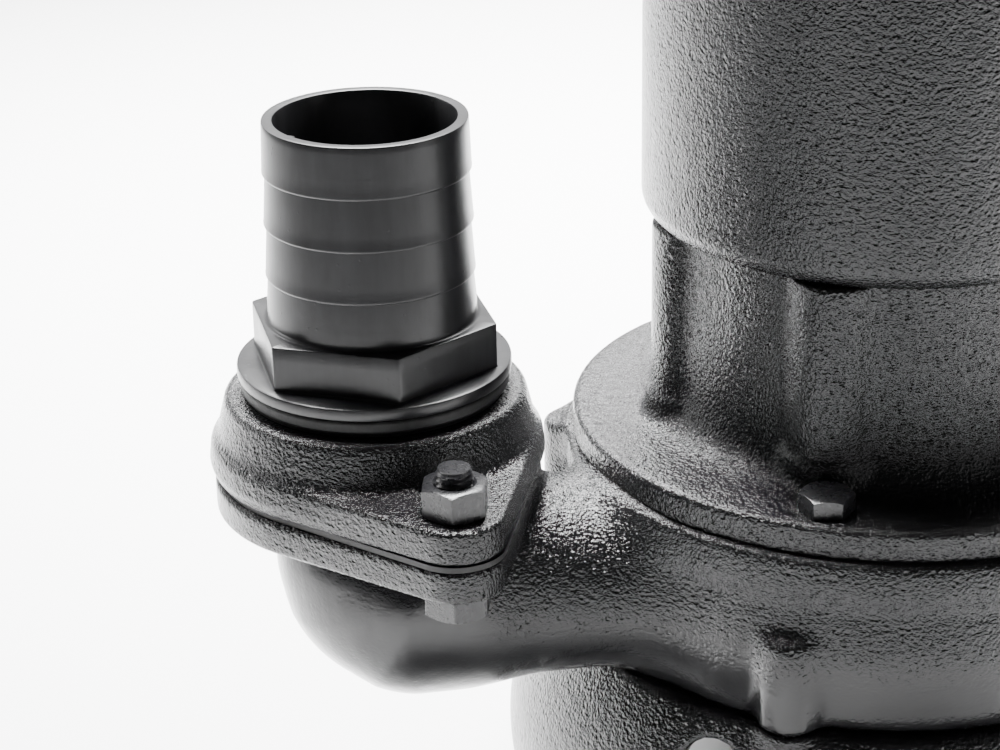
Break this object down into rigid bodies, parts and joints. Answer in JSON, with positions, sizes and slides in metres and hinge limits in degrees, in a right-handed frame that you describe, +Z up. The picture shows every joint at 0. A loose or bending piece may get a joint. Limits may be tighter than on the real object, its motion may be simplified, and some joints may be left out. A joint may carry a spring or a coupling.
{
  "type": "submersible sump pump",
  "caption": "Submersible sump pump: cast motor and volute on a slotted base, with a bolted flange carrying an upright hose barb.",
  "frame": {"origin": "on the shaft axis, on the floor under the base", "axes": "+Z up along the shaft, the discharge pipe runs to -X, the discharge flange stands towards -Y from the shaft"},
  "size_m": [0.2922, 0.216, 0.482],
  "materials": {
    "black_cast_paint": "gloss black paint over rough sand-cast iron",
    "painted_fastener": "gloss black paint over forged steel",
    "black_plastic": "satin to gloss moulded plastic",
    "black_rubber": "matt",
    "grey_iron": "machined and cast grey iron",
    "bare_steel": "turned steel",
    "bearing_steel": "ground and polished",
    "lamination_steel": "stacked electrical steel sheet",
    "bronze": "turned",
    "copper": "enamelled or soft copper",
    "ceramic": "ground ceramic",
    "carbon": "lapped carbon",
    "pale_plastic": "matt moulded plastic"
  },
  "bodies": {
    "housing": {"hose_barb": "black_plastic", "barb_gasket": "black_rubber", "discharge_flange": "black_cast_paint", "flange_gasket": "black_rubber", "flange_bolts": "painted_fastener", "flange_nuts": "painted_fastener", "volute_casing": "black_cast_paint", "casing_o_ring": "black_rubber", "volute_screws": "painted_fastener", "intake_base": "black_cast_paint", "base_gasket": "black_rubber", "base_screws": "bare_steel", "wear_ring": "bronze", "motor_base": "black_cast_paint", "oil_chamber_lid": "grey_iron", "lid_screws": "bare_steel", "lower_seal_seat": "ceramic", "upper_seal_seat": "ceramic", "oil_plug": "painted_fastener", "oil_plug_washer": "copper", "lower_bearing_outer": "bearing_steel", "bearing_circlip": "bare_steel", "stator_core": "lamination_steel", "stator_windings": "copper", "upper_bearing_outer": "bearing_steel", "wave_spring": "bare_steel", "motor_housing": "black_cast_paint", "tie_bolts": "bare_steel", "upper_bracket": "black_cast_paint", "top_cap": "black_cast_paint", "cap_o_ring": "black_rubber", "cap_bolts": "painted_fastener", "handle": "black_cast_paint", "handle_screws": "bare_steel", "gland_body": "black_plastic", "gland_grommet": "black_rubber", "gland_nut": "black_plastic", "capacitor": "pale_plastic", "capacitor_clip": "bare_steel", "terminal_block": "pale_plastic", "thermal_protector": "black_plastic"},
    "rotor": {"rotor_shaft": "bare_steel", "rotor_core": "lamination_steel", "impeller": "grey_iron", "impeller_key": "bare_steel", "impeller_washer": "bare_steel", "impeller_bolt": "bare_steel", "lower_seal_ring": "carbon", "seal_spring": "bare_steel", "upper_seal_ring": "carbon", "lower_bearing_inner": "bearing_steel", "upper_bearing_inner": "bearing_steel"},
    "lower_ball_set": {"lower_bearing_balls": "bearing_steel"},
    "upper_ball_set": {"upper_bearing_balls": "bearing_steel"}
  },
  "joints": [
    {"name": "rotor_spin", "type": "hinge", "parent": "housing", "child": "rotor", "pos_m": [0, 0, 0.15], "axis": [0, 0, 1], "continuous": true},
    {"name": "lower_balls_orbit", "type": "hinge", "parent": "housing", "child": "lower_ball_set", "pos_m": [0, 0, 0.1585], "axis": [0, 0, 1], "continuous": true},
    {"name": "upper_balls_orbit", "type": "hinge", "parent": "housing", "child": "upper_ball_set", "pos_m": [0, 0, 0.3715], "axis": [0, 0, 1], "continuous": true}
  ],
  "couplings": [
    {"joint": "lower_balls_orbit", "follows": "rotor_spin", "ratio": 0.38},
    {"joint": "upper_balls_orbit", "follows": "rotor_spin", "ratio": 0.378}
  ]
}
